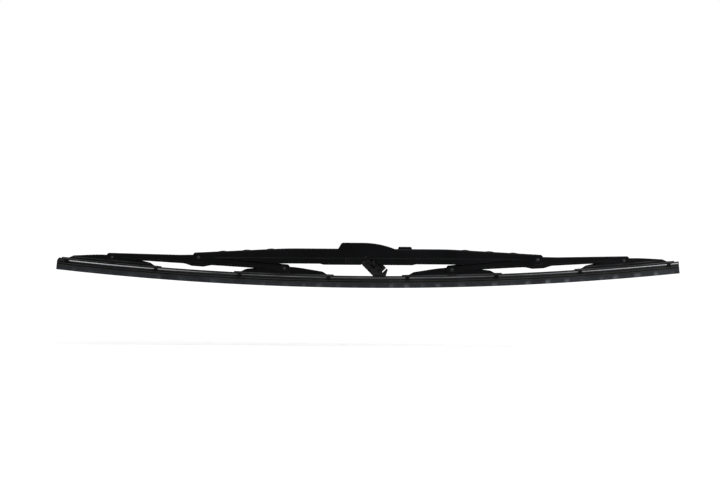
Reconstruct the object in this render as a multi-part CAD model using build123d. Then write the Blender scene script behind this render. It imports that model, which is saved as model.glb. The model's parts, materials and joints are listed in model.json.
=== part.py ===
from build123d import *
import os
from math import asin, cos, degrees, radians, sin, sqrt

# Framed wiper blade for a hook arm, in millimetres.
# X runs along the blade, Y across it, +Z away from the glass.
# The origin is on the axis of the adapter pin, at mid blade.
# Each of the three levels of levers is a folded sheet, open towards the glass.

# Blade and its curve
blade_length = 650.0
lip_radius = 3037.0
pin_height = 33.35

# Rubber, heights from the lip upwards
lip_blade_height = 1.75
lip_flare_height = 5.05
lip_height = 5.95
neck_height = 1.0
shoulder_height = 1.0
lower_flange_height = 1.0
upper_flange_height = 1.5

# Rubber, half widths
lip_tip_half = 0.35
lip_blade_half = 0.45
lip_flare_half = 1.0
lip_top_half = 2.2
neck_half = 0.55
shoulder_half = 2.7
groove_web_half = 1.15
head_half = 2.6
head_web_half = 1.1
rubber_end_block = 8.0

# Spring strips in the head of the rubber
flexor_width = 2.25
flexor_thickness = 0.95
flexor_play = 0.05
flexor_end_gap = 1.0
flexor_corner = 0.8

# Stations of the claw levers along the lip: from mid blade, and from the blade's end
inner_station = 87.7
outer_overhang = 57.0
claw_pivot_height = 18.65

# Claw levers
claw_sheet = 0.8
claw_side_play = 0.2
claw_bend = 1.3
claw_reach = 46.2
claw_width = 4.0
claw_tip_play = 0.35
claw_groove_play = 0.175
claw_strap_rise = 0.1
claw_apex = 3.5
claw_crown_radius = 155.0
claw_shoulder_inset = 6.2
claw_shoulder_rise = 2.7
claw_shoulder_radius = 5.0
toe_inset = 1.4
toe_length = 7.1
toe_radius = 4.0
toe_gap = 0.3
claw_lever_lap = 0.1

# Secondary levers, from their pivot
secondary_rise = 5.6
secondary_sheet = 0.9
secondary_bend = 1.8
secondary_end_reach = 5.8
secondary_end_top = -1.4
secondary_apex = 3.0
secondary_crown_radius = 120.0
secondary_arm_x = 20.0
secondary_arm_top = 1.45
secondary_arm_radius = 100.0
secondary_belly_half = 6.0
secondary_belly_drop = 3.7
secondary_arm_drop = 1.6
secondary_lug_drop = 4.5
secondary_lug_length = 10.8
secondary_slope_run = 8.0
secondary_belly_radius = 6.0
secondary_slope_radius = 12.0
secondary_lug_radius = 3.5
secondary_joggle_height = 2.2
secondary_joggle_step = 0.35

# Main bracket
main_sheet = 1.1
main_bend = 2.2
main_top = 7.5
main_flat_half = 84.0
main_top_radius = 400.0
main_lug_rise = 5.3
main_lug_drop = 4.8
main_lug_reach = 5.8
main_lug_length = 12.5
main_arch_z = -3.9
main_arch_setback = 34.6
main_arch_run = 51.0
main_arch_start_radius = 60.0
main_arch_top_radius = 20.0
main_lug_radius = 4.5
main_lug_blend = 4.0
main_skirt_z = -8.4
main_belly_z = -9.4
main_belly_half = 46.0
main_belly_run = 4.0
main_belly_radius = 3.0
ledge_z = -2.2
ledge_step = 0.5
ledge_setback = 22.0
ledge_taper = 6.0

# Raised middle of the main bracket
hump_top = 13.7
hump_left = -32.2
hump_left_run = 4.8
hump_flat_end = -5.0
hump_right = 33.0
hump_corner = 3.0
window_left = -27.5
window_right = 24.5
window_corner = 2.0
notch_left = -7.2
notch_top = -3.3
notch_right = 9.6
notch_corner = 1.5
tab_start = 30.8
tab_end = 46.0
tab_rise = 2.3
tab_half = 3.6
tab_corner = 1.0
cross_rib_setbacks = (30.6, 55.6, 80.6)
cross_rib_length = 9.0
cross_rib_rise = 0.6
cross_rib_half = 4.6
grip_rib_stations = (-23.0, -20.1, -17.2)
grip_rib_width = 1.0
grip_rib_height = 4.2
grip_rib_rise = 0.35
grip_rib_top = -3.2

# Rivets, pin and liners
main_rivet_radius = 1.5
main_rivet_head_radius = 1.8
claw_rivet_radius = 1.25
claw_rivet_head_radius = 1.6
rivet_head_height = 0.6
rivet_head_edge = 0.15
rivet_hole_play = 0.02
running_play = 0.08
pin_radius = 2.4
pin_end_chamfer = 0.3
liner_thickness = 0.35
liner_side_play = 0.1
liner_seat_play = 0.05
liner_strap_half = 3.4
liner_plate_half = 5.2
liner_corner = 1.5
claw_liner_drop = 6.3
main_liner_drop = 5.6
liner_shoulder = 1.2

# Hook adapter, drawn level and then hung at its resting angle
# Each pocket: from and to along the adapter, then its lower and upper height
adapter_hang = 45.0
adapter_side_gap = 0.3
adapter_cheek = 1.35
adapter_top = 4.8
adapter_nose = 5.2
adapter_bottom = -10.9
adapter_back_x = -1.5
adapter_back_z = -6.0
adapter_back_radius = 3.0
adapter_nose_radius = 4.5
adapter_tail_lap = 0.3
adapter_core_gap = 0.45
adapter_tail_z = -1.7
adapter_tail_lean = 3.5
adapter_corner = 1.2
adapter_core_top = 3.2
adapter_core_bottom = -6.0
adapter_core_wall = 1.5
adapter_block_length = 9.7
adapter_slit_setback = 6.0
adapter_slit_width = 0.9
adapter_slit_bottom = -1.2
adapter_pocket_depth = 2.4
adapter_pocket_corner = 0.6
adapter_near_pocket = (4.4, 7.0, -2.0, 0.4)
adapter_upper_pocket = (8.2, 19.5, 0.9, 2.6)
adapter_lower_pocket = (8.4, 13.6, -5.4, -2.8)

# How near two places are taken as the same
tolerance = 0.001

# Worked out from the sizes above; cuts that run out of a part reach as far as the blade is high
clear = pin_height + hump_top
claw_groove_height = claw_sheet + 2 * claw_groove_play
flexor_slot_height = flexor_thickness + 2 * flexor_play
rubber_height = (lip_height + neck_height + shoulder_height + claw_groove_height
                 + lower_flange_height + flexor_slot_height + upper_flange_height)
groove_floor = lip_height + neck_height + shoulder_height
groove_middle = groove_floor + claw_groove_height / 2
slot_floor = groove_floor + claw_groove_height + lower_flange_height
slot_top = slot_floor + flexor_slot_height
flexor_inner = head_web_half + flexor_play
flexor_outer = flexor_inner + flexor_width
claw_inner = flexor_outer + claw_side_play
claw_half = claw_inner + claw_sheet
secondary_inner = claw_half + liner_thickness + liner_side_play
secondary_half = secondary_inner + secondary_sheet
main_inner = secondary_half + liner_thickness + liner_side_play
main_half = main_inner + main_sheet
adapter_half = main_inner - adapter_side_gap
claw_shoulder_x = claw_reach - claw_shoulder_inset
toe_start = claw_reach - toe_inset
toe_end = toe_start + toe_length
curve_centre = lip_radius - pin_height
pivot_radius = lip_radius - claw_pivot_height
rubber_top_radius = lip_radius - rubber_height
toe_curve = rubber_top_radius - toe_gap - claw_sheet
toe_start_z = pivot_radius - sqrt(toe_curve ** 2 - toe_start ** 2)
toe_end_z = pivot_radius - sqrt(toe_curve ** 2 - toe_end ** 2)
claw_shoulder_z = toe_start_z + claw_shoulder_rise

# Places of the pivots on the right half; the left half mirrors them
inner_angle = inner_station / lip_radius
outer_angle = (blade_length / 2 - outer_overhang) / lip_radius
secondary_angle = (inner_angle + outer_angle) / 2
secondary_half_span = pivot_radius * sin((outer_angle - inner_angle) / 2)
secondary_pivot_radius = pivot_radius * cos((outer_angle - inner_angle) / 2) - secondary_rise
secondary_pivot = (secondary_pivot_radius * sin(secondary_angle),
                   curve_centre - secondary_pivot_radius * cos(secondary_angle))
secondary_end = secondary_half_span + secondary_end_reach
main_end = secondary_pivot[0] + main_lug_reach
main_lug_top = secondary_pivot[1] + main_lug_rise
main_lug_floor = secondary_pivot[1] - main_lug_drop
main_slope = (main_top - main_lug_top) / (secondary_pivot[0] - main_flat_half)
main_arch_top = main_end - main_arch_setback
main_arch_start = main_arch_top - main_arch_run
ledge_half = main_end - ledge_setback


def mirrored(points):
    """Closed outline from the points of its right half, listed from the bottom upwards."""
    return points + [(-x, z) for x, z in reversed(points)]


def closed_face(points, radii):
    """Face inside a closed outline with rounded corners."""
    return make_face(FilletPolyline(points, radius=radii, close=True))


def across(face, half_width):
    """Solid of a side outline, drawn in X and Z, with a half width in Y."""
    return extrude(Plane.XZ * face, half_width, both=True)


def slab(x0, x1, half_width, z0, z1):
    """Block between two X places and two heights, centred in Y."""
    return Pos((x0 + x1) / 2, 0, (z0 + z1) / 2) * Box(x1 - x0, 2 * half_width, z1 - z0)


def bore(x, z, radius):
    """Cutter for a hole along Y."""
    return Pos(x, 0, z) * Rot(90, 0, 0) * Cylinder(radius, 2 * clear)


def under(path, floor):
    """Face between a path, listed from left to right, and a level floor."""
    left = path @ 0
    right = path @ 1
    walls = Polyline((left.X, left.Y), (left.X, floor), (right.X, floor), (right.X, right.Y))
    return make_face(path.edges() + walls.edges())


def folded_solid(path, half_width, bend, floor):
    """Solid under a path, with its two long upper edges rounded as a fold."""
    body = across(under(path, floor), half_width)
    upper = [edge for edge in body.edges()
             if abs(abs(edge.center().Y) - half_width) < tolerance
             and abs((edge @ 1).X - (edge @ 0).X) > tolerance
             and edge.center().Z > floor + tolerance]
    return fillet(upper, bend)


def folded_sheet(path, sheet, half_width, bend, floor):
    """Channel folded from sheet: a web along the path and two walls down to the floor."""
    outer = folded_solid(path, half_width, bend, floor)
    inner = folded_solid(Pos(0, -sheet) * path, half_width - sheet, bend - sheet, floor - sheet)
    return outer - inner


def rivet(radius, grip_half, head_radius):
    """Rivet along Y with a low domed head at each end."""
    rim = (head_radius, grip_half + rivet_head_edge)
    crown = (0, grip_half + rivet_head_height)
    outline = Polyline(crown, (0, 0), (radius, 0), (radius, grip_half), (head_radius, grip_half), rim)
    dome = TangentArc(crown, rim, tangent=(1, 0))
    half = revolve(make_face(outline.edges() + dome.edges()), Axis.Y)
    return half + mirror(half, Plane.XZ)


def liner(half_width, crown, bend, drop, hole_radius):
    """Plastic saddle that straddles a lever at its pivot."""
    seat_half = half_width + liner_seat_play
    seat_top = crown + liner_seat_play
    outer_half = half_width + liner_thickness
    strap_top = seat_top + liner_thickness
    outline = mirrored([(liner_plate_half, -drop), (liner_plate_half, liner_shoulder - bend),
                        (liner_strap_half, liner_shoulder), (liner_strap_half, strap_top)])
    radii = [liner_corner, liner_corner, liner_corner / 2, 0]
    body = across(closed_face(outline, radii + radii[::-1]), outer_half)
    body = fillet(body.edges().filter_by(Axis.X).group_by(Axis.Z)[-1], bend + liner_thickness)
    seat = slab(-clear, clear, seat_half, -clear, seat_top)
    seat = fillet(seat.edges().filter_by(Axis.X).group_by(Axis.Z)[-1], bend + liner_seat_play)
    return body - seat - bore(0, 0, hole_radius)


def along_blade(section, start, end):
    """Sweep a section along the blade's curve, between two distances along the lip."""
    axis = Axis((0, 0, curve_centre), (0, 1, 0))
    placed = (Plane.YZ * (Pos(0, -pin_height) * section)).rotate(axis, -degrees(end / lip_radius))
    return revolve(placed, axis, degrees((end - start) / lip_radius))


def rubber_section():
    """Half section of the rubber, from the lip up, mirrored."""
    shoulder_floor = lip_height + neck_height
    flank = ThreePointArc((lip_blade_half, lip_blade_height),
                          (lip_flare_half, (lip_blade_height + lip_flare_height) / 2 + lip_blade_half),
                          (lip_top_half, lip_flare_height))
    rest = Polyline((lip_top_half, lip_flare_height), (lip_top_half, lip_height),
                    (neck_half, lip_height), (neck_half, shoulder_floor),
                    (shoulder_half, shoulder_floor), (shoulder_half, groove_floor),
                    (groove_web_half, groove_floor),
                    (groove_web_half, groove_floor + claw_groove_height),
                    (head_half, groove_floor + claw_groove_height), (head_half, slot_floor),
                    (head_web_half, slot_floor), (head_web_half, slot_top),
                    (head_half, slot_top), (head_half, rubber_height), (0, rubber_height),
                    (0, 0), (lip_tip_half, 0), (lip_blade_half, lip_blade_height))
    half = make_face(flank.edges() + rest.edges())
    return half + mirror(half, Plane.YZ)


def wiper_rubber():
    """Rubber with a moulded stop at its left end, where the strip slots end."""
    reach = blade_length / 2
    stop = Pos(0, (slot_floor + slot_top) / 2) * Rectangle(2 * head_half, flexor_slot_height)
    rubber = along_blade(rubber_section(), -reach, reach)
    return rubber + along_blade(stop, -reach, -reach + rubber_end_block)


def flexor(side):
    """Spring strip in the slot on one side of the head."""
    start = -blade_length / 2 + rubber_end_block + flexor_end_gap
    end = blade_length / 2 - flexor_end_gap
    middle = side * (flexor_inner + flexor_outer) / 2
    section = Pos(middle, (slot_floor + slot_top) / 2) * Rectangle(flexor_width, flexor_thickness)
    strip = along_blade(section, start, end)
    corners = strip.edges().filter_by(lambda edge: edge.length < flexor_thickness + tolerance)
    outer = corners.sort_by(lambda edge: side * edge.center().Y)[-2:]
    return fillet(outer, flexor_corner)


def claw_strap():
    """One pair of claws: a strap over the rubber's head that hooks into its groove."""
    top = pivot_radius - toe_curve + claw_strap_rise
    hook_floor = groove_middle - claw_sheet / 2 - claw_pivot_height
    tip = groove_web_half + claw_tip_play
    outer = Pos(0, (top + hook_floor) / 2) * RectangleRounded(2 * claw_half, top - hook_floor, claw_bend)
    inner = Pos(0, (top + hook_floor) / 2) * Rectangle(2 * claw_inner, top - hook_floor - 2 * claw_sheet)
    mouth = Pos(0, hook_floor) * Rectangle(2 * tip, 2 * claw_sheet + claw_groove_height)
    return extrude(Plane.YZ * (outer - inner - mouth), claw_width / 2, both=True)


def above_rubber():
    """Room for a claw lever: its walls follow the rubber and end a lap below the toes' bends."""
    radius = toe_curve + claw_bend + claw_lever_lap
    reach = toe_end + claw_width
    end_z = pivot_radius - sqrt(radius ** 2 - reach ** 2)
    edge = ThreePointArc((-reach, end_z), (0, pivot_radius - radius), (reach, end_z))
    rest = Polyline((reach, end_z), (reach, clear), (-reach, clear), (-reach, end_z))
    return across(make_face(edge.edges() + rest.edges()), clear)


def claw_lever():
    """Claw lever about its own pivot, level, with claws square to the rubber at both ends."""
    path = FilletPolyline((-toe_end, toe_end_z), (-toe_start, toe_start_z),
                          (-claw_shoulder_x, claw_shoulder_z), (0, claw_apex),
                          (claw_shoulder_x, claw_shoulder_z), (toe_start, toe_start_z),
                          (toe_end, toe_end_z),
                          radius=[toe_radius, claw_shoulder_radius, claw_crown_radius,
                                  claw_shoulder_radius, toe_radius])
    channel = folded_sheet(path, claw_sheet, claw_half, claw_bend, -claw_pivot_height)
    axis = Axis((0, 0, pivot_radius), (0, 1, 0))
    lever = channel & above_rubber()
    for side in (-1, 1):
        lever += claw_strap().rotate(axis, side * degrees(claw_reach / pivot_radius))
    return lever - bore(0, 0, claw_rivet_radius + running_play)


def claw_crown():
    """Height of the claw lever's web over its pivot."""
    half_turn = (claw_apex - claw_shoulder_z) / claw_shoulder_x
    return claw_apex - claw_crown_radius * (sqrt(1 + half_turn ** 2) - 1)


def secondary_crown():
    """Height of the secondary lever's web over its pivot."""
    half_turn = (secondary_apex - secondary_arm_top) / secondary_arm_x
    return secondary_apex - secondary_crown_radius * (sqrt(1 + half_turn ** 2) - 1)


def secondary_side():
    """Side outline of the secondary lever below its web."""
    lug_start = secondary_end - secondary_lug_length
    belly_run = secondary_belly_half + secondary_slope_run
    arm_floor = -secondary_rise - secondary_arm_drop
    lug_floor = -secondary_rise - secondary_lug_drop
    corner_x = secondary_end - 2 * secondary_bend
    points = mirrored([(secondary_belly_half, -secondary_rise - secondary_belly_drop),
                       (belly_run, arm_floor),
                       (lug_start - secondary_slope_run, arm_floor),
                       (lug_start, lug_floor),
                       (secondary_end, lug_floor),
                       (secondary_end, secondary_end_top - secondary_bend),
                       (corner_x, secondary_end_top + secondary_bend),
                       (corner_x, clear)])
    radii = [secondary_belly_radius, secondary_slope_radius, secondary_slope_radius,
             secondary_belly_radius, secondary_lug_radius, secondary_lug_radius, 0, 0]
    return closed_face(points, radii + radii[::-1])


def lower_strip(half_width, height):
    """Strip of the given height along the secondary lever's lower edge, across its width."""
    strip = across(secondary_side(), half_width)
    return strip - across(Pos(0, height) * secondary_side(), half_width + clear)


def secondary_lever():
    """Secondary lever about its own pivot, level, joggled outwards along its lower edge."""
    out = secondary_end + secondary_bend
    path = FilletPolyline((-out, secondary_end_top), (-secondary_arm_x, secondary_arm_top),
                          (0, secondary_apex), (secondary_arm_x, secondary_arm_top), (out, secondary_end_top),
                          radius=[secondary_arm_radius, secondary_crown_radius, secondary_arm_radius])
    lever = folded_sheet(path, secondary_sheet, secondary_half, secondary_bend, -clear)
    lever = lever & across(secondary_side(), secondary_half)
    inside = slab(-out, out, secondary_inner, -clear, clear)
    lever += lower_strip(secondary_half + secondary_joggle_step, secondary_joggle_height) - inside
    room_height = secondary_joggle_height - secondary_joggle_step
    lever -= lower_strip(secondary_inner + secondary_joggle_step, room_height)
    for x in (-secondary_half_span, secondary_half_span):
        lever -= bore(x, -secondary_rise, claw_rivet_radius + rivet_hole_play)
    return lever - bore(0, 0, main_rivet_radius + running_play)


def main_side():
    """Side outline of the main bracket below its web."""
    lug_start = main_end - main_lug_length
    corner_x = main_end - 2 * main_bend
    points = mirrored([(main_belly_half, main_belly_z),
                       (main_belly_half + main_belly_run, main_skirt_z),
                       (main_arch_start, main_skirt_z),
                       (main_arch_top, main_arch_z),
                       (lug_start - main_lug_drop, main_arch_z),
                       (lug_start, main_lug_floor),
                       (main_end, main_lug_floor),
                       (main_end, main_lug_top - main_bend),
                       (corner_x, main_lug_top + main_bend),
                       (corner_x, clear)])
    radii = [main_belly_radius, main_belly_radius, main_arch_start_radius, main_arch_top_radius,
             main_lug_blend, main_lug_blend, main_lug_radius, main_lug_radius, 0, 0]
    return closed_face(points, radii + radii[::-1])


def skirt_solid(half_width, wide_half, top):
    """Band under the ledge that tapers back to the upper half width at its ends."""
    wide = ledge_half - ledge_taper
    plan = Polyline((-ledge_half, half_width), (-wide, wide_half), (wide, wide_half),
                    (ledge_half, half_width), (ledge_half, -half_width), (wide, -wide_half),
                    (-wide, -wide_half), (-ledge_half, -half_width), close=True)
    band = Pos(0, 0, top) * extrude(make_face(plan), -clear)
    rim = band.faces().sort_by(Axis.Z)[-1].edges().filter_by(Axis.Y, reverse=True)
    return chamfer(rim, ledge_step)


def hump_cheeks():
    """Raised side walls of the hook window, which run down into the fold at both ends."""
    fold = main_top - main_bend
    base = fold - main_sheet
    peak = (hump_left + hump_left_run, hump_top)
    lines = Polyline((hump_right, fold), (hump_right, base), (hump_left, base), (hump_left, fold),
                     peak, (hump_flat_end, hump_top))
    slope = TangentArc((hump_flat_end, hump_top), (hump_right, fold), tangent=(1, 0))
    face = make_face(lines.edges() + slope.edges())
    corner = face.vertices().sort_by_distance(peak)[0]
    face = fillet(corner, hump_corner)
    return across(face, main_half) - slab(hump_left, hump_right, main_inner, -clear, clear)


def cross_rib(x):
    """Low pressed rib across the sloping web."""
    lift = main_top - (abs(x) - main_flat_half) * main_slope
    half = cross_rib_length / 2
    sink = -main_sheet / 2
    crest = ThreePointArc((-half, 0), (0, cross_rib_rise), (half, 0))
    base = Polyline((half, 0), (half, sink), (-half, sink), (-half, 0))
    tilt = degrees(asin(main_slope)) * (1 if x > 0 else -1)
    rib = across(make_face(crest.edges() + base.edges()), cross_rib_half)
    return Pos(x, 0, lift) * Rot(0, tilt, 0) * rib


def web_tab():
    """Pressed tab on the web beside the hook window."""
    floor = main_top - main_sheet / 2
    top = main_top + tab_rise
    points = [(tab_start, floor), (tab_end, floor),
              (tab_end - tab_rise / 2, top), (tab_start + tab_rise / 2, top)]
    return across(closed_face(points, [0, 0, tab_corner, tab_corner]), tab_half)


def main_bracket():
    """Main bracket with its ledge, hook window, notch for the adapter and pressed ribs."""
    out = main_end + main_bend
    out_top = main_top - (out - main_flat_half) * main_slope
    path = FilletPolyline((-out, out_top), (-main_flat_half, main_top), (main_flat_half, main_top),
                          (out, out_top), radius=main_top_radius)
    wide_half = main_half + ledge_step
    wide_inner = main_inner + ledge_step
    outer = folded_solid(path, main_half, main_bend, -clear) + skirt_solid(main_half, wide_half, ledge_z)
    inner = folded_solid(Pos(0, -main_sheet) * path, main_inner, main_bend - main_sheet, -clear - main_sheet)
    inner += skirt_solid(main_inner, wide_inner, ledge_z - ledge_step)
    bracket = (outer - inner) & across(main_side(), wide_half)
    window = slab(window_left, window_right, main_inner, main_top - 2 * main_bend, hump_top)
    bracket -= fillet(window.edges().filter_by(Axis.Z), window_corner)
    bracket += hump_cheeks()
    bracket += web_tab()
    for setback in cross_rib_setbacks:
        bracket += cross_rib(main_end - setback)
        bracket += cross_rib(setback - main_end)
    notch_floor = main_belly_z - main_sheet
    notch = [(notch_left, notch_floor), (notch_left, notch_top), (notch_right, notch_top),
             (notch_right + notch_top - notch_floor, notch_floor)]
    bracket -= across(closed_face(notch, [0, notch_corner, notch_corner, 0]), clear)
    for x in grip_rib_stations:
        rib = slab(x - grip_rib_width / 2, x + grip_rib_width / 2, wide_half + grip_rib_rise,
                   grip_rib_top - grip_rib_height, grip_rib_top)
        room = slab(x - grip_rib_width, x + grip_rib_width, wide_half - grip_rib_rise, -clear, clear)
        bracket += rib - room
    for side in (-1, 1):
        bracket -= bore(side * secondary_pivot[0], secondary_pivot[1], main_rivet_radius + rivet_hole_play)
    return bracket - bore(0, 0, pin_radius + rivet_hole_play)


def adapter_pin():
    """Pin across the main bracket, flush with its walls."""
    pin = Rot(90, 0, 0) * Cylinder(pin_radius, 2 * main_half)
    return chamfer(pin.edges().filter_by(GeomType.CIRCLE), pin_end_chamfer)


def tail_x(z):
    """X of the adapter's sloping tail end, which lies level astride the rubber when the clip hangs."""
    room = pin_height - rubber_height + adapter_tail_lap
    return (room + z * cos(radians(adapter_hang))) / sin(radians(adapter_hang))


def hook_adapter():
    """Clip on the pin: two cheeks, a core for the hook to wrap and a latch at the tail."""
    tail = tail_x(adapter_tail_z)
    outline = [(-adapter_nose, adapter_top), (tail - adapter_tail_lean, adapter_top),
               (tail, adapter_tail_z), (tail_x(adapter_bottom), adapter_bottom),
               (adapter_back_x, adapter_bottom), (-adapter_nose, adapter_back_z)]
    side = closed_face(outline, [adapter_nose_radius, adapter_corner, adapter_corner, adapter_corner,
                                 adapter_back_radius, adapter_back_radius])
    cheek_inner = adapter_half - adapter_cheek
    between = slab(-clear, 2 * clear, cheek_inner, -clear, clear)
    core = slab(0, 2 * clear, cheek_inner, adapter_core_bottom, adapter_core_top)
    core += bore(0, 0, pin_radius + running_play + adapter_core_wall) & between
    core += slab(tail - adapter_block_length, 2 * clear, cheek_inner, -clear, clear)
    body = across(side, adapter_half)
    body -= across(side, cheek_inner) - core
    behind = slab(-clear, 2 * clear, adapter_half - adapter_pocket_depth, -clear, clear)
    for start, end, low, high in (adapter_near_pocket, adapter_upper_pocket, adapter_lower_pocket):
        pocket = slab(start, end, clear, low, high)
        body -= fillet(pocket.edges().filter_by(Axis.Y), adapter_pocket_corner) - behind
    slit = tail - adapter_slit_setback
    body -= slab(slit, slit + adapter_slit_width, clear, adapter_slit_bottom, clear)
    body -= bore(0, 0, pin_radius + running_play)
    rubber_room = slab(-clear, clear, cheek_inner, -clear, rubber_height - pin_height + adapter_core_gap)
    return Rot(0, adapter_hang, 0) * body - rubber_room


def at_secondary(piece, side):
    """Place a piece drawn about the secondary pivot on one half of the blade."""
    turn = Rot(0, -side * degrees(secondary_angle), 0)
    return Pos(side * secondary_pivot[0], 0, secondary_pivot[1]) * turn * piece


def at_claw(piece, side, angle):
    """Place a piece drawn about a claw pivot on one half of the blade."""
    x = side * pivot_radius * sin(angle)
    z = curve_centre - pivot_radius * cos(angle)
    return Pos(x, 0, z) * Rot(0, -side * degrees(angle), 0) * piece


parts = {
    "main_bracket": main_bracket(),
    "adapter_pin": adapter_pin(),
    "hook_adapter": hook_adapter(),
    "wiper_rubber": wiper_rubber(),
    "flexor_front": flexor(-1),
    "flexor_back": flexor(1),
}
secondary_parts = {
    "secondary_lever": secondary_lever(),
    "main_rivet": rivet(main_rivet_radius, main_half, main_rivet_head_radius),
    "main_liner": liner(secondary_half, secondary_crown(), secondary_bend, main_liner_drop,
                        main_rivet_radius + running_play),
}
claw_parts = {
    "claw_lever": claw_lever(),
    "claw_rivet": rivet(claw_rivet_radius, secondary_half, claw_rivet_head_radius),
    "claw_liner": liner(claw_half, claw_crown(), claw_bend, claw_liner_drop,
                        claw_rivet_radius + running_play),
}
for side, name in ((-1, "left"), (1, "right")):
    for piece, solid in secondary_parts.items():
        parts[piece + "_" + name] = at_secondary(solid, side)
    for angle, place in ((outer_angle, "outer"), (inner_angle, "inner")):
        for piece, solid in claw_parts.items():
            parts[piece + "_" + name + "_" + place] = at_claw(solid, side, angle)

os.makedirs("parts", exist_ok=True)
for name, part in parts.items():
    export_step(part, "parts/" + name + ".step")
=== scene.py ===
"""Dress the framed wiper blade: rubber and spring strips, finishes, studio and camera."""
import json
from math import cos, pi, radians, sin, sqrt

import bmesh
import bpy
from mathutils import Matrix, Vector


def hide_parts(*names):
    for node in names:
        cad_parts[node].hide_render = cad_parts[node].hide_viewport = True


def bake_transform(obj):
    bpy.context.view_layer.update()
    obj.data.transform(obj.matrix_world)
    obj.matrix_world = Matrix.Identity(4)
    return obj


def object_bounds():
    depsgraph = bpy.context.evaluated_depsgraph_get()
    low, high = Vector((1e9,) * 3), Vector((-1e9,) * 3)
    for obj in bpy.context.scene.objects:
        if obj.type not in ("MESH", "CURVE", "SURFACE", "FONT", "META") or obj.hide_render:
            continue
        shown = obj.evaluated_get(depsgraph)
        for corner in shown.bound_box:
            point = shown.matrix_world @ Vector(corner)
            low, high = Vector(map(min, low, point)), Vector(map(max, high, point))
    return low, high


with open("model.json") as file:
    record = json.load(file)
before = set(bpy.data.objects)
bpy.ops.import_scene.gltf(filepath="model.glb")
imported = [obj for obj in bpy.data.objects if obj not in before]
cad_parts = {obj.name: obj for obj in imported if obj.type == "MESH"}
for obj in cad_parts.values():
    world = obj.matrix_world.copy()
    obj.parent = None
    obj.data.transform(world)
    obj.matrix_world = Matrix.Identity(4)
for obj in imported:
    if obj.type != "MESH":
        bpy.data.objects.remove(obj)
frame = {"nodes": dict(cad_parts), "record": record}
cad_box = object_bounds()
MM = 0.001

# Curve of the blade, as in the CAD model, in millimetres
LIP_RADIUS = 3037.0
PIN_HEIGHT = 33.35
BLADE_HALF = 325.0

# Section of the rubber: half width and height over the lip, with the rounding of each corner
LIP_FLANK_STEPS = 7
RUBBER_HEIGHT = 12.65
LIP_FLOOR = 0.07
LIP_CORNERS = [(0.35, LIP_FLOOR, 0.12), (0.45, 1.75, 0.0)]
FLANK_MIDDLE = (1.0, 3.85)
FLANK_TOP = (2.2, 5.05)
BODY_CORNERS = [
    (*FLANK_TOP, 0.35), (2.2, 5.95, 0.3), (0.55, 5.95, 0.2), (0.55, 6.95, 0.2), (2.7, 6.95, 0.28),
    (2.7, 7.95, 0.28), (1.15, 7.95, 0.15), (1.15, 9.1, 0.15), (2.6, 9.1, 0.25),
]
SLOT_CORNERS = [(2.6, 10.1, 0.25), (1.1, 10.1, 0.0), (1.1, 11.15, 0.0), (2.6, 11.15, 0.25)]
HEAD_CORNERS = [(2.6, RUBBER_HEIGHT, 0.3)]
STOP_LENGTH = 8.0
END_ROUNDING = 2.6
CORNER_SHARE = 0.45
SHARP_DEGREES = 40.0

# Spring strips in the slots
STRIP_INNER = 1.15
STRIP_OUTER = 3.4
STRIP_FLOOR = 10.15
STRIP_TOP = 11.1
STRIP_EDGE = 0.28
STRIP_GAP = 1.0

# Marks on the lip, and painted reflection lines along the low levers, which run from one height
# over the lip to another and fade over a third length
MARK_PITCH = 18.3
MARK_DRIFT = 5.0
LOW_SHEEN_LINE = (12.2 * MM, 13.1 * MM, 0.25 * MM)
HIGH_SHEEN_LINE = (15.0 * MM, 15.5 * MM, 0.3 * MM)
HIGH_SHEEN_LINE_ENDS = (160.0 * MM, 215.0 * MM)

# Stretches of each half: where they meet, and where each turns from one body to the next
RING_PITCH = 2.0
BLADE_PLACE = "blade_place"
SECONDARY_STATION = 177.0
CLAW_STATION = 87.7
MIDDLE_STATION = 33.0
TIP_TURN = (219.6, 180.0)
ARM_TURN = (174.0, 136.0)
CLAW_TURN = (39.4, 33.2)
MIDDLE_TURN = {"left": (32.6, 2.0), "right": (32.6, 17.8)}

# Photograph: frame in pixels, the pin's place in it, its scale, and how the blade lies in it
PHOTO_WIDTH = 720
PHOTO_HEIGHT = 480
PIN_PIXEL = (368.0, 256.0)
MM_PER_PIXEL = 648.8 / 623.7
ROLL_DEGREES = 0.386
VIEW_RISE_DEGREES = 0.1
CAMERA_DISTANCE = 5.0
SENSOR_WIDTH = 36.0
VIEW_LIMIT = 100.0

# Studio: the floor glows from one strength to another between two distances, in metres
FLOOR_DROP = 0.06
FLOOR_HALF = 30.0
FLOOR_COLOUR = (0.9, 0.9, 0.9, 1.0)
FLOOR_GLOW = (0.1, 0.75)
FLOOR_GLOW_REACH = (0.3, 1.3)
WHITE = (1.0, 1.0, 1.0, 1.0)
WORLD_FILL = 0.385
LAMPS = [
    # name, place, width, depth, watts
    ("key_light", (0.6, -1.3, 1.5), 1.6, 1.0, 12.6),
    ("top_light", (0.0, 0.0, 1.6), 2.0, 0.9, 16.8),
    ("low_light", (0.6, -0.5, 0.0), 0.5, 0.4, 3.5),
]


# Helpers for meshes

def rounded(corners, steps=4):
    """Points of an open line with rounded corners, from (y, h, radius) corners."""
    points = []
    for index, (y, h, radius) in enumerate(corners):
        here = Vector((y, h))
        if radius == 0 or index in (0, len(corners) - 1):
            points.append(here)
            continue
        back = Vector(corners[index - 1][:2]) - here
        ahead = Vector(corners[index + 1][:2]) - here
        reach = min(radius, CORNER_SHARE * back.length, CORNER_SHARE * ahead.length)
        start = here + back.normalized() * reach
        end = here + ahead.normalized() * reach
        for step in range(steps + 1):
            t = step / steps
            points.append(start * (1 - t) ** 2 + here * 2 * t * (1 - t) + end * t ** 2)
    return points


def mirrored_loop(half):
    """Closed section from the points of its right half, listed from the lip up."""
    return half + [Vector((-p.x, p.y)) for p in reversed(half)]


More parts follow.
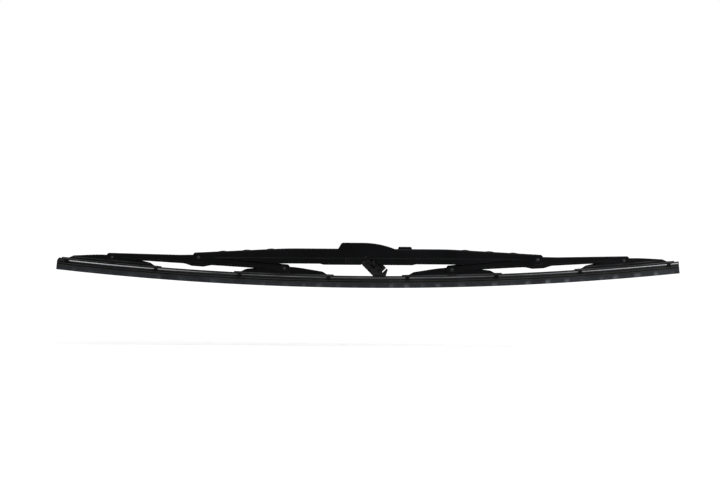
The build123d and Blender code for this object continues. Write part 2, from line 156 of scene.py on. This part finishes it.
def flank():
    """Points of the lip's hollow flank, a quadratic curve."""
    start = Vector(LIP_CORNERS[1][:2])
    middle = Vector(FLANK_MIDDLE)
    end = Vector(FLANK_TOP)
    control = 2 * middle - (start + end) / 2
    points = []
    for step in range(1, LIP_FLANK_STEPS):
        t = step / LIP_FLANK_STEPS
        point = start * (1 - t) ** 2 + control * 2 * t * (1 - t) + end * t ** 2
        points.append((point.x, point.y, 0.0))
    return points


def rubber_loop(slotted):
    """Section of the rubber, with or without the slots for the strips."""
    slot = SLOT_CORNERS if slotted else []
    corners = [(0.0, LIP_FLOOR, 0.0)] + LIP_CORNERS + flank() + BODY_CORNERS + slot + HEAD_CORNERS
    half = rounded(corners + [(0.0, RUBBER_HEIGHT, 0.0)])
    return mirrored_loop(half[1:-1])


def strip_loop(side):
    """Section of one spring strip, with its rolled edges."""
    middle = (STRIP_INNER + STRIP_OUTER) / 2
    corners = [(middle, STRIP_FLOOR, 0.0), (STRIP_OUTER, STRIP_FLOOR, STRIP_EDGE),
               (STRIP_OUTER, STRIP_TOP, STRIP_EDGE), (STRIP_INNER, STRIP_TOP, 0.0),
               (STRIP_INNER, STRIP_FLOOR, 0.0), (middle, STRIP_FLOOR, 0.0)]
    points = rounded(corners)[:-1]
    return [Vector((side * p.x, p.y)) for p in points][::side]


def on_blade(station, y, height):
    """Place of a section point at a distance along the lip, in metres."""
    radius = LIP_RADIUS - height
    angle = station / LIP_RADIUS
    return Vector((radius * sin(angle), y, LIP_RADIUS - PIN_HEIGHT - radius * cos(angle))) * MM


def stations(start, end):
    """Evenly spaced places from start to end."""
    count = max(1, round(abs(end - start) / RING_PITCH))
    return [start + (end - start) * step / count for step in range(count + 1)]


def sweep(name, loop, places, setback=None):
    """Closed mesh of a section along the blade; setback shortens it by height at its first place."""
    shape = bmesh.new()
    along = shape.verts.layers.float_vector.new(BLADE_PLACE)
    rings = []
    for index, place in enumerate(places):
        ring = []
        for point in loop:
            station = place + (setback(point) if setback and index == 0 else 0.0)
            vertex = shape.verts.new(on_blade(station, point.x, point.y))
            vertex[along] = Vector((station, point.x, point.y)) * MM
            ring.append(vertex)
        rings.append(ring)
    size = len(loop)
    for ring, after in zip(rings, rings[1:]):
        for k in range(size):
            shape.faces.new((ring[k], ring[(k + 1) % size], after[(k + 1) % size], after[k]))
    shape.faces.new(rings[0])
    shape.faces.new(rings[-1])
    bmesh.ops.recalc_face_normals(shape, faces=shape.faces)
    mesh = bpy.data.meshes.new(name)
    shape.to_mesh(mesh)
    shape.free()
    mesh.shade_smooth()
    mesh.set_sharp_from_angle(angle=radians(SHARP_DEGREES))
    piece = bpy.data.objects.new(name, mesh)
    bpy.context.scene.collection.objects.link(piece)
    return piece


# Helpers for materials

class Recipe:
    """A node material built one node at a time."""

    def __init__(self, name, attribute=None):
        self.material = bpy.data.materials.new(name)
        self.material.use_nodes = True
        self.tree = self.material.node_tree
        self.shader = self.tree.nodes["Principled BSDF"]
        if attribute:
            place = self.node("ShaderNodeAttribute", attribute_name=attribute)
            self.coordinates = place.outputs["Vector"]
        else:
            place = self.node("ShaderNodeTexCoord")
            self.coordinates = place.outputs["Object"]

    def node(self, kind, **settings):
        """New node with some of its properties set."""
        made = self.tree.nodes.new(kind)
        for key, value in settings.items():
            setattr(made, key, value)
        return made

    def link(self, source, target):
        """Join two sockets."""
        self.tree.links.new(source, target)

    def stretched(self, scale):
        """Object coordinates, scaled."""
        mapping = self.node("ShaderNodeMapping")
        mapping.inputs["Scale"].default_value = scale
        self.link(self.coordinates, mapping.inputs["Vector"])
        return mapping.outputs["Vector"]

    def noise(self, scale, detail=2.0, vector=None):
        """Noise between 0 and 1; scale is in cycles per metre."""
        made = self.node("ShaderNodeTexNoise")
        made.inputs["Scale"].default_value = scale
        made.inputs["Detail"].default_value = detail
        self.link(vector or self.coordinates, made.inputs["Vector"])
        return made.outputs["Fac"]

    def ramp(self, source, low, high, start=0.0, end=1.0):
        """Number that goes from low to high as the source goes from start to end."""
        made = self.node("ShaderNodeMapRange")
        made.inputs["From Min"].default_value = start
        made.inputs["From Max"].default_value = end
        made.inputs["To Min"].default_value = low
        made.inputs["To Max"].default_value = high
        self.link(source, made.inputs["Value"])
        return made.outputs["Result"]

    def math(self, operation, first, second):
        """Sum, product and so on of two numbers or sockets."""
        made = self.node("ShaderNodeMath", operation=operation)
        for socket, value in zip(made.inputs, (first, second)):
            if isinstance(value, (int, float)):
                socket.default_value = value
            else:
                self.link(value, socket)
        return made.outputs["Value"]

    def parts(self):
        """The three numbers of the coordinates."""
        made = self.node("ShaderNodeSeparateXYZ")
        self.link(self.coordinates, made.inputs["Vector"])
        return made.outputs["X"], made.outputs["Y"], made.outputs["Z"]

    def over_lip(self):
        """Height over the lip's curve, in metres, from the shared frame's coordinates."""
        x, _, z = self.parts()
        drop = self.math("SUBTRACT", z, (LIP_RADIUS - PIN_HEIGHT) * MM)
        square = self.math("ADD", self.math("MULTIPLY", x, x), self.math("MULTIPLY", drop, drop))
        return self.math("SUBTRACT", LIP_RADIUS * MM, self.math("SQRT", square, 0.0))

    def band(self, source, low, high, soft):
        """Number that is 1 from low to high and fades to 0 on both sides."""
        rising = self.ramp(source, 0.0, 1.0, low - soft, low)
        falling = self.ramp(source, 1.0, 0.0, high, high + soft)
        return self.math("MULTIPLY", rising, falling)

    def blend(self, factor, first, second):
        """Colour between two colours or sockets."""
        made = self.node("ShaderNodeMix", data_type="RGBA")
        self.link(factor, made.inputs["Factor"])
        for socket, value in ((made.inputs[6], first), (made.inputs[7], second)):
            if isinstance(value, tuple):
                socket.default_value = (*value, 1.0)
            else:
                self.link(value, socket)
        return made.outputs[2]

    def soft_edges(self, radius):
        """Normal that rounds sharp edges by a radius in metres."""
        made = self.node("ShaderNodeBevel", samples=6)
        made.inputs["Radius"].default_value = radius
        return made.outputs["Normal"]

    def worn_edges(self, radius, start, end):
        """Number near 1 on sharp edges and 0 on flat faces."""
        bevel = self.soft_edges(radius)
        flat = self.node("ShaderNodeNewGeometry").outputs["Normal"]
        made = self.node("ShaderNodeVectorMath", operation="DOT_PRODUCT")
        self.link(bevel, made.inputs[0])
        self.link(flat, made.inputs[1])
        return self.ramp(made.outputs["Value"], 0.0, 1.0, start, end)

    def hollows(self, distance, start, end):
        """Number near 0 in corners and recesses and 1 on open faces."""
        made = self.node("ShaderNodeAmbientOcclusion", samples=8)
        made.inputs["Distance"].default_value = distance
        return self.ramp(made.outputs["AO"], 0.0, 1.0, start, end)

    def bumps(self, heights, normal=None):
        """Surface normal with one or more bumps of (source, height in metres)."""
        for source, height in heights:
            made = self.node("ShaderNodeBump")
            made.inputs["Strength"].default_value = 1.0
            made.inputs["Distance"].default_value = height
            self.link(source, made.inputs["Height"])
            if normal is not None:
                self.link(normal, made.inputs["Normal"])
            normal = made.outputs["Normal"]
        self.link(normal, self.shader.inputs["Normal"])

    def set(self, **values):
        """Constants and sockets on the shader, by input name with _ for spaces."""
        for key, value in values.items():
            socket = self.shader.inputs[key.replace("_", " ")]
            if isinstance(value, tuple):
                socket.default_value = (*value, 1.0)
            elif isinstance(value, (int, float)):
                socket.default_value = value
            else:
                self.link(value, socket)
        return self.material


# Materials

def bracket_paint():
    """Satin black paint on pressed steel, with orange peel, rubbed edges and painted reflection lines low on
    the levers.
    """
    paint = Recipe("bracket_paint")
    cloud = paint.noise(28.0, 4.0)
    peel = paint.noise(520.0, 2.0)
    grain = paint.noise(2600.0, 2.0)
    worn = paint.worn_edges(0.35 * MM, 0.985, 0.86)
    rubbed = paint.math("MULTIPLY", worn, paint.ramp(paint.noise(160.0, 3.0), 0.0, 1.0, 0.42, 0.7))
    dark = (0.0006, 0.0007, 0.001)
    light = (0.002, 0.0021, 0.0026)
    body = paint.blend(paint.ramp(cloud, 0.0, 1.0, 0.35, 0.68), dark, light)
    # Painted reflection: lighter lines at two heights over the lip stand in for the sheen on the low levers'
    # walls. The higher line shows only towards the ends, and noise breaks both into streaks.
    height = paint.over_lip()
    x, _, _ = paint.parts()
    outer = paint.ramp(paint.math("ABSOLUTE", x, 0.0), 0.0, 1.0, *HIGH_SHEEN_LINE_ENDS)
    high = paint.math("MULTIPLY", paint.band(height, *HIGH_SHEEN_LINE), outer)
    sheen_lines = paint.math("MAXIMUM", paint.band(height, *LOW_SHEEN_LINE), high)
    sheen_breakup = paint.noise(60.0, 4.0, paint.stretched((0.5, 1.0, 3.0)))
    sheen_lines = paint.math("MULTIPLY", sheen_lines, paint.ramp(sheen_breakup, 0.15, 0.95, 0.35, 0.62))
    body = paint.blend(sheen_lines, body, (0.046, 0.046, 0.047))
    colour = paint.blend(rubbed, body, (0.043, 0.043, 0.046))
    rough = paint.ramp(cloud, 0.24, 0.38, 0.3, 0.7)
    paint.bumps([(peel, 0.012 * MM), (grain, 0.004 * MM)], paint.soft_edges(0.2 * MM))
    return paint.set(Base_Color=colour, Roughness=rough, Specular_IOR_Level=0.045)


def rivet_steel():
    """Blackened steel rivet head, rubbed grey on its crown."""
    steel = Recipe("rivet_steel")
    cloud = steel.noise(700.0, 4.0)
    turned = steel.noise(90.0, 3.0, steel.stretched((12.0, 1.0, 12.0)))
    colour = steel.blend(steel.ramp(cloud, 0.0, 1.0, 0.35, 0.7), (0.012, 0.012, 0.013), (0.03, 0.03, 0.032))
    rough = steel.ramp(cloud, 0.34, 0.55)
    steel.bumps([(turned, 0.006 * MM)], steel.soft_edges(0.15 * MM))
    return steel.set(Base_Color=colour, Roughness=rough, Metallic=0.8, Specular_IOR_Level=0.2)


def spring_steel():
    """Cold rolled strip, with a painted reflection that makes it bright towards its ends and most at the
    left, and fine lines along it.
    """
    steel = Recipe("spring_steel", BLADE_PLACE)
    lines = steel.noise(700.0, 3.0, steel.stretched((0.03, 1.0, 1.0)))
    stain = steel.noise(35.0, 4.0)
    colour = steel.blend(steel.ramp(stain, 0.0, 1.0, 0.35, 0.72), (0.06, 0.062, 0.064), (0.145, 0.148, 0.154))
    # Painted reflection: the strip is made lighter towards both ends, and only half as much at the right end,
    # standing in for the lamps' reflection on the bent strip.
    station, _, _ = steel.parts()
    away = steel.math("ABSOLUTE", station, 0.0)
    outer = steel.ramp(away, 0.0, 1.0, 0.16, 0.27)
    painted_reflection_right_fade = steel.ramp(station, 1.0, 0.5, 0.0, 0.2)
    colour = steel.blend(steel.math("MULTIPLY", outer, painted_reflection_right_fade), colour, (0.43, 0.437, 0.45))
    rough = steel.ramp(lines, 0.3, 0.48)
    steel.bumps([(lines, 0.004 * MM)])
    return steel.set(Base_Color=colour, Roughness=rough, Metallic=1.0)


def wiper_rubber_material():
    """Matt rubber with a bluish lip, painted shade in its grooves, graphite dust, extrusion lines and marks
    at the lip.
    """
    rubber = Recipe("wiper_rubber", BLADE_PLACE)
    cloud = rubber.noise(60.0, 5.0)
    lines = rubber.noise(1400.0, 2.0, rubber.stretched((0.012, 1.0, 1.0)))
    grain = rubber.noise(3200.0, 2.0)
    station, _, height = rubber.parts()
    mottle = rubber.ramp(cloud, 0.0, 1.0, 0.3, 0.72)
    head = rubber.blend(mottle, (0.0112, 0.0112, 0.0115), (0.0244, 0.0244, 0.025))
    lip = rubber.blend(mottle, (0.0098, 0.0106, 0.0127), (0.0209, 0.023, 0.0276))
    body = rubber.blend(rubber.ramp(height, 0.0, 1.0, 3.5 * MM, 6.0 * MM), lip, head)
    dusted = rubber.blend(rubber.ramp(lines, 0.0, 0.35, 0.5, 0.75), body, (0.046, 0.049, 0.054))
    drift = rubber.ramp(rubber.noise(22.0, 1.0), -MARK_DRIFT * MM, MARK_DRIFT * MM, 0.3, 0.7)
    turns = rubber.math("MULTIPLY", rubber.math("ADD", station, drift), 2 * pi / (MARK_PITCH * MM))
    beat = rubber.ramp(rubber.math("SINE", turns, 0.0), 0.0, 1.0, 0.35, 1.0)
    smear = rubber.noise(75.0, 3.0, rubber.stretched((0.6, 1.0, 1.0)))
    mark = rubber.math("MULTIPLY", beat, rubber.ramp(smear, 0.0, 1.0, 0.36, 0.62))
    mark = rubber.math("MULTIPLY", mark, rubber.ramp(height, 1.0, 0.0, 1.6 * MM, 5.2 * MM))
    mark = rubber.math("MULTIPLY", mark, rubber.ramp(station, 0.3, 1.0, -0.1, 0.16))
    colour = rubber.blend(mark, dusted, (0.089, 0.093, 0.1))
    # Painted shade: grooves and recesses are darkened to near black by an occlusion mask.
    colour = rubber.blend(rubber.hollows(1.2 * MM, 0.36, 0.88), (0.003, 0.003, 0.003), colour)
    rough = rubber.ramp(cloud, 0.5, 0.68)
    rubber.bumps([(lines, 0.012 * MM), (grain, 0.006 * MM)])
    return rubber.set(Base_Color=colour, Roughness=rough, Specular_IOR_Level=0.09)


def adapter_plastic():
    """Dark grey moulded plastic, mottled, with a fine spark-eroded grain and painted shade in its pockets and
    corners.
    """
    plastic = Recipe("adapter_plastic")
    mottle = plastic.noise(300.0, 4.0)
    grain = plastic.noise(2400.0, 3.0)
    dark = (0.0011, 0.0011, 0.0013)
    light = (0.01, 0.01, 0.0107)
    body = plastic.blend(plastic.ramp(mottle, 0.0, 1.0, 0.38, 0.62), dark, light)
    # Painted shade: pockets and corners are darkened by an occlusion mask.
    body = plastic.blend(plastic.hollows(2.5 * MM, 0.55, 0.9), (0.0006, 0.0006, 0.0006), body)
    rough = plastic.ramp(mottle, 0.42, 0.6)
    plastic.bumps([(grain, 0.012 * MM)], plastic.soft_edges(0.25 * MM))
    return plastic.set(Base_Color=body, Roughness=rough, Specular_IOR_Level=0.06)


def liner_plastic():
    """Black plastic of the saddles at the pivots."""
    plastic = Recipe("liner_plastic")
    cloud = plastic.noise(220.0, 3.0)
    grain = plastic.noise(2000.0, 2.0)
    dark = (0.0029, 0.0029, 0.0029)
    light = (0.0072, 0.0072, 0.0076)
    body = plastic.blend(plastic.ramp(cloud, 0.0, 1.0, 0.35, 0.7), dark, light)
    rough = plastic.ramp(cloud, 0.45, 0.6)
    plastic.bumps([(grain, 0.006 * MM)], plastic.soft_edges(0.12 * MM))
    return plastic.set(Base_Color=body, Roughness=rough, Specular_IOR_Level=0.09)


MATERIALS = {
    "bracket_paint": bracket_paint(),
    "rivet_steel": rivet_steel(),
    "spring_steel": spring_steel(),
    "wiper_rubber": wiper_rubber_material(),
    "adapter_plastic": adapter_plastic(),
    "liner_plastic": liner_plastic(),
}


def dress(piece, slot):
    """Give a piece the finish of a material slot."""
    piece.data.materials.clear()
    piece.data.materials.append(MATERIALS[slot])


for part in frame["record"]["subparts"]:
    dress(frame["nodes"][part["node"]], part["material_slot"])


# Rubber and spring strips, in stretches along the blade

def end_setback(point):
    """How far the rubber's left end stands back at a height, for its rounded upper corner."""
    over = point.y - (RUBBER_HEIGHT - END_ROUNDING)
    return END_ROUNDING - sqrt(END_ROUNDING ** 2 - over ** 2) if over > 0 else 0.0


def turning(piece, first, second, start, end, side):
    """Bake the piece's placement into its mesh."""
    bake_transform(piece)


def stretches(name):
    """Bodies, ends and turn of each stretch of one half, from the tip to the middle."""
    outer = "claw_" + name + "_outer"
    inner = "claw_" + name + "_inner"
    level = "secondary_" + name
    return [
        ("tip", outer, level, BLADE_HALF, SECONDARY_STATION, *TIP_TURN),
        ("arm", level, inner, SECONDARY_STATION, CLAW_STATION, *ARM_TURN),
        ("claw", inner, level, CLAW_STATION, MIDDLE_STATION, *CLAW_TURN),
        ("middle", level, "bridge", MIDDLE_STATION, 0.0, *MIDDLE_TURN[name]),
    ]


def make(name, slot, node, loop, places, ends, side, setback=None):
    """One stretch of rubber or strip, dressed, with the model's own part hidden."""
    piece = sweep(name, loop, places, setback)
    dress(piece, slot)
    turning(piece, *ends, side)
    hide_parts(node)


for side, name in ((-1, "left"), (1, "right")):
    for label, first, second, outer, inner, start, end in stretches(name):
        ends = (first, second, start, end)
        places = stations(side * outer, side * inner)
        tail = label + "_" + name
        if label == "tip" and name == "left":
            stop = stations(-BLADE_HALF, STOP_LENGTH - BLADE_HALF)
            make("rubber_stop_left", "wiper_rubber", "wiper_rubber", rubber_loop(False), stop, ends, side,
                 end_setback)
            places = stations(STOP_LENGTH - BLADE_HALF, side * inner)
        make("rubber_" + tail, "wiper_rubber", "wiper_rubber", rubber_loop(True), places, ends, side)
        tip = outer
        if label == "tip":
            tip = BLADE_HALF - STRIP_GAP - (STOP_LENGTH if name == "left" else 0.0)
        places = stations(side * tip, side * inner)
        make("strip_front_" + tail, "spring_steel", "flexor_front", strip_loop(-1), places, ends, side)
        make("strip_back_" + tail, "spring_steel", "flexor_back", strip_loop(1), places, ends, side)


# Studio and camera

def white_to_camera(tree, lit):
    """Which rays show the background, and the plain white that they see in place of a lit shader."""
    rays = tree.nodes.new("ShaderNodeLightPath")
    seen = rays.outputs["Is Camera Ray"]
    for kind in ("Is Glossy Ray", "Is Transmission Ray"):
        either = tree.nodes.new("ShaderNodeMath")
        either.operation = "MAXIMUM"
        tree.links.new(seen, either.inputs[0])
        tree.links.new(rays.outputs[kind], either.inputs[1])
        seen = either.outputs["Value"]
    in_world = lit.bl_idname == "ShaderNodeBackground"
    white = tree.nodes.new("ShaderNodeBackground" if in_world else "ShaderNodeEmission")
    white.inputs["Color"].default_value = WHITE
    white.inputs["Strength"].default_value = 1.0
    return seen, white


def studio_world():
    """Even soft fill that shows as white."""
    world = bpy.data.worlds.new("studio")
    world.use_nodes = True
    tree = world.node_tree
    fill = tree.nodes["Background"]
    fill.inputs["Color"].default_value = WHITE
    fill.inputs["Strength"].default_value = WORLD_FILL
    seen, white = white_to_camera(tree, fill)
    mix = tree.nodes.new("ShaderNodeMixShader")
    tree.links.new(seen, mix.inputs["Fac"])
    tree.links.new(fill.outputs[0], mix.inputs[1])
    tree.links.new(white.outputs[0], mix.inputs[2])
    tree.links.new(mix.outputs[0], tree.nodes["World Output"].inputs["Surface"])
    bpy.context.scene.world = world


def studio_floor():
    """Pale floor that takes the blade's shadow, with a glow further out, where the lamps fade."""
    bpy.ops.mesh.primitive_plane_add(size=2 * FLOOR_HALF, location=(0, 0, cad_box[0].z - FLOOR_DROP))
    floor = bpy.context.object
    floor.name = "studio_floor"
    material = bpy.data.materials.new("studio_floor")
    material.use_nodes = True
    tree = material.node_tree
    pale = tree.nodes["Principled BSDF"]
    pale.inputs["Base Color"].default_value = FLOOR_COLOUR
    pale.inputs["Roughness"].default_value = 0.9
    pale.inputs["Specular IOR Level"].default_value = 0.0
    seen, white = white_to_camera(tree, pale)
    place = tree.nodes.new("ShaderNodeTexCoord")
    away = tree.nodes.new("ShaderNodeVectorMath")
    away.operation = "LENGTH"
    further = tree.nodes.new("ShaderNodeMapRange")
    for end, value in zip(("From Min", "From Max", "To Min", "To Max"), FLOOR_GLOW_REACH + FLOOR_GLOW):
        further.inputs[end].default_value = value
    tree.links.new(place.outputs["Object"], away.inputs[0])
    tree.links.new(away.outputs["Value"], further.inputs["Value"])
    tree.links.new(further.outputs["Result"], white.inputs["Strength"])
    glow = tree.nodes.new("ShaderNodeMixShader")
    dark = tree.nodes.new("ShaderNodeEmission")
    dark.inputs["Strength"].default_value = 0.0
    total = tree.nodes.new("ShaderNodeAddShader")
    tree.links.new(seen, glow.inputs["Fac"])
    tree.links.new(dark.outputs[0], glow.inputs[1])
    tree.links.new(white.outputs[0], glow.inputs[2])
    tree.links.new(pale.outputs[0], total.inputs[0])
    tree.links.new(glow.outputs[0], total.inputs[1])
    tree.links.new(total.outputs[0], tree.nodes["Material Output"].inputs["Surface"])
    floor.data.materials.append(material)


def lamp(name, place, width, depth, watts):
    """Soft box that faces the blade."""
    light = bpy.data.lights.new(name, "AREA")
    light.shape = "RECTANGLE"
    light.size = width
    light.size_y = depth
    light.energy = watts
    holder = bpy.data.objects.new(name, light)
    holder.location = place
    holder.rotation_mode = "QUATERNION"
    holder.rotation_quaternion = (-Vector(place)).to_track_quat("-Z", "Y")
    holder.visible_camera = False
    bpy.context.scene.collection.objects.link(holder)


def photo_camera():
    """Long lens square to the blade, with the pin where the photograph has it."""
    data = bpy.data.cameras.new("photo_camera")
    camera = bpy.data.objects.new("photo_camera", data)
    bpy.context.scene.collection.objects.link(camera)
    frame_width = PHOTO_WIDTH * MM_PER_PIXEL * MM
    data.sensor_width = SENSOR_WIDTH
    data.lens = SENSOR_WIDTH * CAMERA_DISTANCE / frame_width
    data.clip_end = VIEW_LIMIT
    rise = radians(VIEW_RISE_DEGREES)
    turn = Matrix.Rotation(pi / 2 - rise, 4, "X") @ Matrix.Rotation(radians(ROLL_DEGREES), 4, "Z")
    right = turn.col[0].to_3d()
    up = turn.col[1].to_3d()
    back = turn.col[2].to_3d()
    over = (PHOTO_WIDTH / 2 - PIN_PIXEL[0]) * MM_PER_PIXEL * MM
    above = (PIN_PIXEL[1] - PHOTO_HEIGHT / 2) * MM_PER_PIXEL * MM
    camera.matrix_world = Matrix.Translation(right * over + up * above + back * CAMERA_DISTANCE) @ turn
    bpy.context.scene.camera = camera


studio_world()
studio_floor()
for settings in LAMPS:
    lamp(*settings)
photo_camera()
bpy.context.scene.view_settings.view_transform = "Standard"
